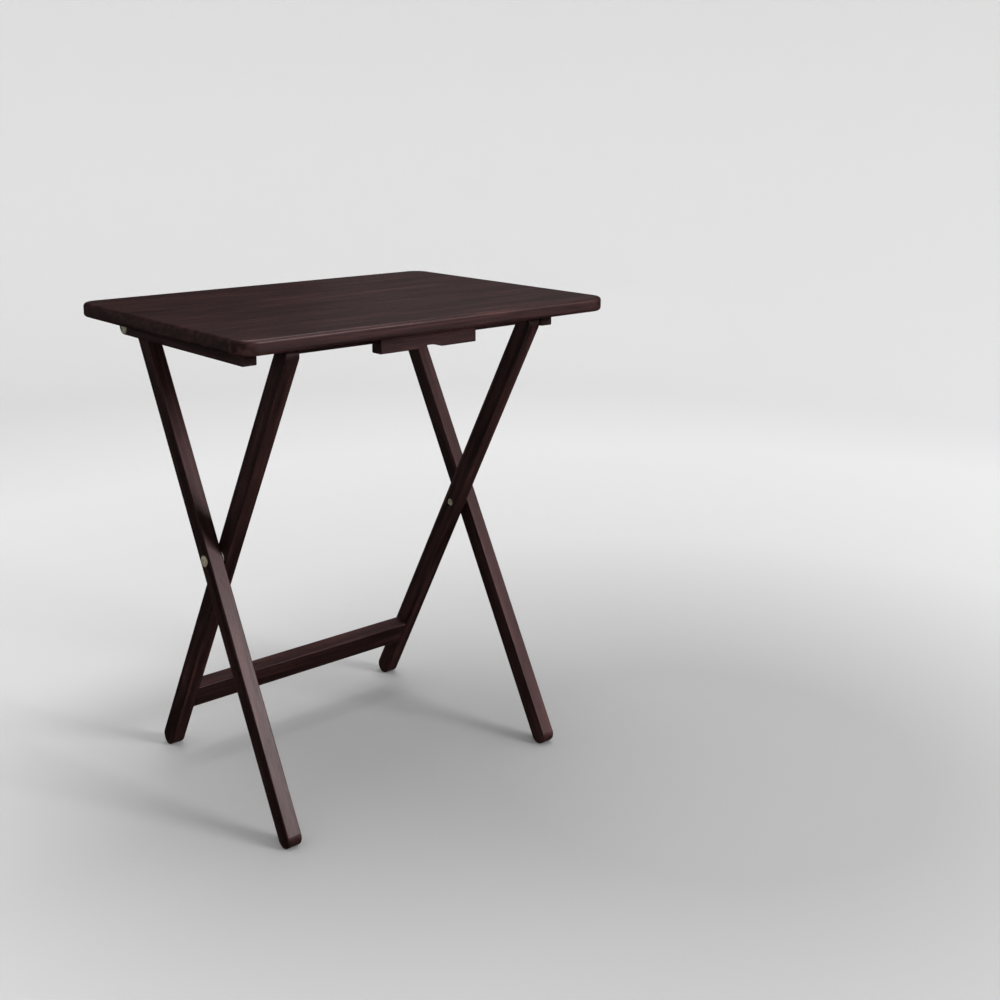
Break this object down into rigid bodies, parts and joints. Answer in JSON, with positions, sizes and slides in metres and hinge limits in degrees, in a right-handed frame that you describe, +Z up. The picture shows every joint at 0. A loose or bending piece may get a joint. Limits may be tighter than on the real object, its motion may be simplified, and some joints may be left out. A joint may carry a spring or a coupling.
{
  "type": "folding tray table",
  "caption": "Folding wooden tray table: a rectangular top with rounded corners on two frames of slat legs that cross like scissors and pivot below the rear of the top.",
  "frame": {"origin": "on the floor below the middle of the top", "axes": "+X to the right along the long side, +Y to the rear where the top pivots, +Z up"},
  "size_m": [0.578, 0.42, 0.648],
  "materials": {
    "dark_wood": "satin espresso stain under clear lacquer",
    "beech_dowel": "plain turned beech",
    "plated_bolt": "yellow zinc plate",
    "wood_screw": "zinc plate",
    "nylon_washer": "matt"
  },
  "bodies": {
    "outer_frame": {"outer_leg_left": "dark_wood", "outer_leg_right": "dark_wood"},
    "inner_frame": {"inner_top_rod": "dark_wood", "lower_stretcher": "dark_wood", "inner_leg_left": "dark_wood", "stretcher_dowels_left": "beech_dowel", "scissor_bolt_left": "plated_bolt", "scissor_nut_left": "plated_bolt", "scissor_washer_left": "nylon_washer", "inner_leg_right": "dark_wood", "stretcher_dowels_right": "beech_dowel", "scissor_bolt_right": "plated_bolt", "scissor_nut_right": "plated_bolt", "scissor_washer_right": "nylon_washer"},
    "tray_top": {"table_top": "dark_wood", "catch_block": "dark_wood", "catch_screws": "wood_screw", "cleat_left": "dark_wood", "cleat_right": "dark_wood", "cleat_screws_left": "wood_screw", "cleat_screws_right": "wood_screw", "top_pivot_bolt_left": "plated_bolt", "top_pivot_bolt_right": "plated_bolt", "top_pivot_nut_left": "plated_bolt", "top_pivot_nut_right": "plated_bolt", "top_pivot_washer_left": "nylon_washer", "top_pivot_washer_right": "nylon_washer"}
  },
  "joints": [
    {"name": "leg_fold", "type": "hinge", "parent": "outer_frame", "child": "inner_frame", "pos_m": [0, 0.004, 0.327], "axis": [-1, 0, 0], "range_deg": [0, 57]},
    {"name": "top_hinge", "type": "hinge", "parent": "outer_frame", "child": "tray_top", "pos_m": [0, 0.16, 0.614], "axis": [-1, 0, 0], "range_deg": [0, 28.5]}
  ],
  "couplings": [
    {"joint": "top_hinge", "follows": "leg_fold", "ratio": 0.5}
  ]
}
